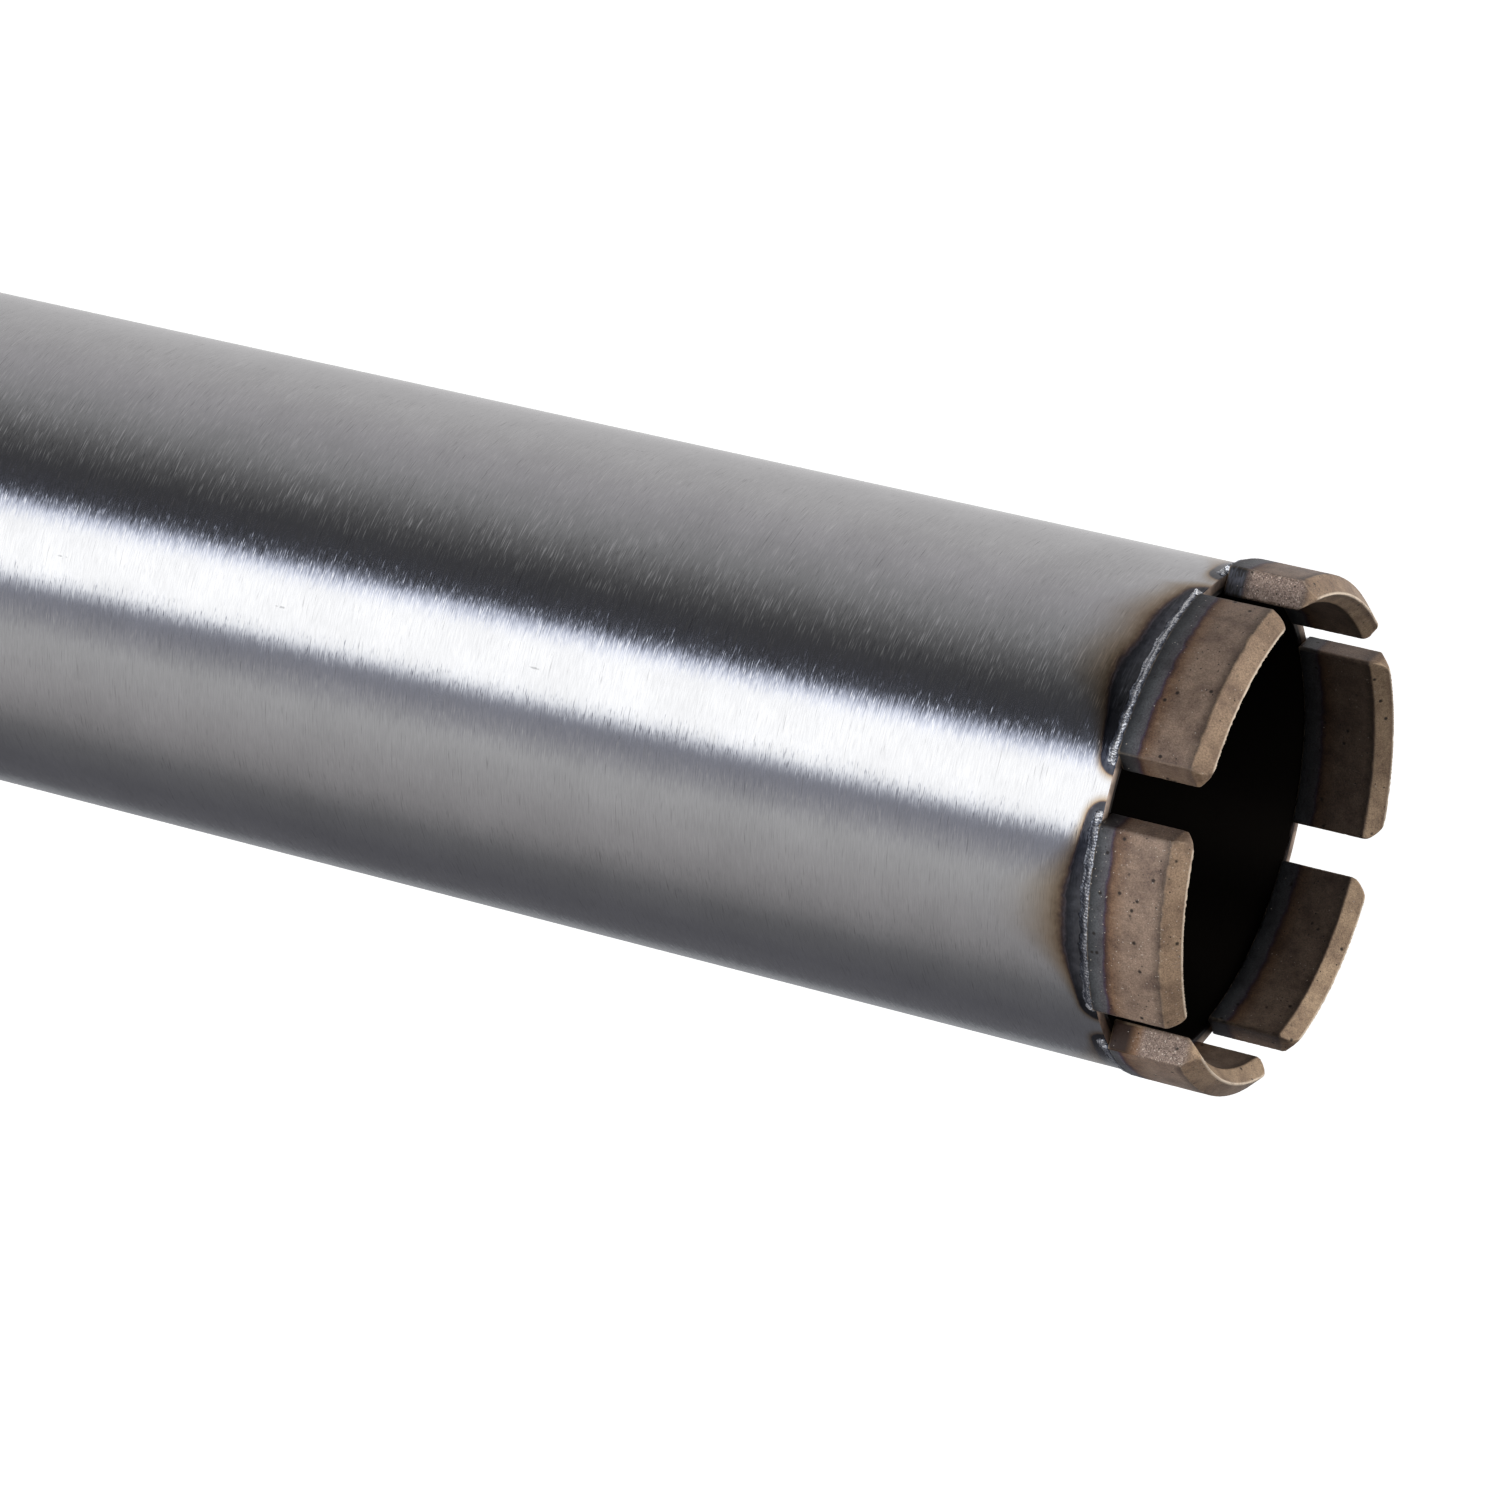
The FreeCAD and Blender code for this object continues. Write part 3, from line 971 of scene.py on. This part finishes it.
# The studio's cards, seen from the bit: direction round the axis in degrees and brightness
cards = (
    (-180, (0.24, 0.245, 0.26)),
    (-168, (0.40, 0.41, 0.43)),
    (-151, (0.50, 0.51, 0.53)),
    (-147, (0.95, 0.95, 0.95)),
    (-136, (0.86, 0.86, 0.86)),
    (-122, (0.66, 0.65, 0.66)),
    (-104, (0.62, 0.61, 0.62)),
    (-80, (0.56, 0.55, 0.56)),
    (-56, (0.46, 0.45, 0.47)),
    (-32, (0.30, 0.30, 0.31)),
    (-20, (0.15, 0.15, 0.155)),
    (-8, (0.06, 0.06, 0.065)),
    (10, (0.05, 0.052, 0.065)),
    (12, (0.07, 0.08, 0.12)),
    (16, (0.80, 0.87, 1.10)),
    (19, (1.44, 1.50, 1.72)),
    (22, (1.66, 1.67, 1.70)),
    (44, (1.66, 1.67, 1.70)),
    (47, (1.58, 1.61, 1.68)),
    (49, (0.90, 0.94, 1.06)),
    (53, (0.22, 0.23, 0.29)),
    (64, (0.36, 0.36, 0.40)),
    (74, (0.55, 0.55, 0.56)),
    (96, (0.44, 0.43, 0.44)),
    (112, (0.34, 0.33, 0.34)),
    (128, (0.17, 0.17, 0.18)),
    (150, (0.12, 0.12, 0.135)),
    (176, (0.14, 0.14, 0.155)),
    (180, (0.18, 0.19, 0.21)),
)


def card_ring():
    """A ring of cards round the bit, which only its gloss reflects."""
    graph = new_graph("studio_cards")
    shader = graph.add("Emission", {"Color": graph.attribute("glow", "Color"), "Strength": 1.0})
    material = graph.finish(shader.outputs[0])
    inside = 0.05
    radius = 0.42
    foot = 0.003
    top = 1.2
    count = 360
    angles = np.linspace(-180.0, 180.0, count + 1)
    places = [angle for angle, _ in cards]
    channels = np.array([colour for _, colour in cards]).T
    red, green, blue = (np.interp(angles, places, channel) for channel in channels)
    rows = ((inside, foot), (radius, foot), (radius, top), (inside, top))
    vertices = []
    glows = []
    for index, angle in enumerate(np.radians(angles)):
        for distance, height in rows:
            vertices.append((distance * math.cos(angle), distance * math.sin(angle), height))
            glows.append((red[index], green[index], blue[index], 1.0))
    steps = len(rows)
    faces = []
    for index in range(count):
        for row in range(steps - 1):
            corner = index * steps + row
            faces.append((corner, corner + 1, corner + steps + 1, corner + steps))
    ring = stage_object("studio_cards", vertices, faces, material)
    layer = ring.data.color_attributes.new("glow", "FLOAT_COLOR", "POINT")
    layer.data.foreach_set("color", np.array(glows, dtype=np.float32).ravel())
    seen_only_in_gloss(ring)


def softbox():
    """A bright card above the crown, which the segments' bevels reflect."""
    graph = new_graph("softbox")
    glow = graph.add("Emission", {"Color": grey(1.0), "Strength": 2.2})
    material = graph.finish(glow.outputs[0])
    half_width = 0.14
    half_height = 0.12
    towards = Vector((0.433, -0.476, 0.765))
    side = towards.cross(Vector((0, 0, 1))).normalized()
    rise = side.cross(towards).normalized()
    middle = Vector((0, 0, crown_z * MM)) + towards * 0.4
    corners = [middle + side * across * half_width + rise * up * half_height
               for across, up in ((-1, -1), (1, -1), (1, 1), (-1, 1))]
    card = stage_object("softbox", corners, [(0, 1, 2, 3)], material)
    seen_only_in_gloss(card)


def lamp(name, place, target, width, height, watts):
    """A soft rectangular lamp, which the gloss doesn't show."""
    data = bpy.data.lights.new(name, "AREA")
    data.shape = "RECTANGLE"
    data.size = width
    data.size_y = height
    data.energy = watts
    thing = bpy.data.objects.new(name, data)
    bpy.context.scene.collection.objects.link(thing)
    thing.location = place
    thing.rotation_euler = (Vector(target) - Vector(place)).to_track_quat("-Z", "Y").to_euler()
    thing.visible_glossy = False


def set_world():
    """White to the eye and a soft even light."""
    world = bpy.data.worlds.new("studio")
    bpy.context.scene.world = world
    graph = Graph(world)
    strength = graph.range(seen_rays(graph), 0.0, 1.0, 0.088, 1.0)
    background = graph.add("Background", {"Color": grey(1.0), "Strength": strength})
    graph.finish(background.outputs[0], "OutputWorld")


bpy.context.scene.view_settings.view_transform = "Standard"
set_camera()
set_world()
white_floor()
card_ring()
softbox()
lamp("key", place=(0.13, -0.5, 1.27), target=(0, 0, 0.4), width=0.4, height=0.4, watts=10.5)
lamp("fill", place=(0.5, 0.95, 0.12), target=(0, 0, 0.4), width=0.6, height=0.6, watts=17.0)

steel = barrel_steel()
powder = sintered()
weld = weld_metal()
turned = turned_steel()
barrel_piece(steel)
dress("end_plate", turned)
for number in range(1, 7):
    segment_piece(number, powder)
    segment_bead(number, weld)
plate_bead(weld)
hub_bead(weld)
hub_piece(turned)
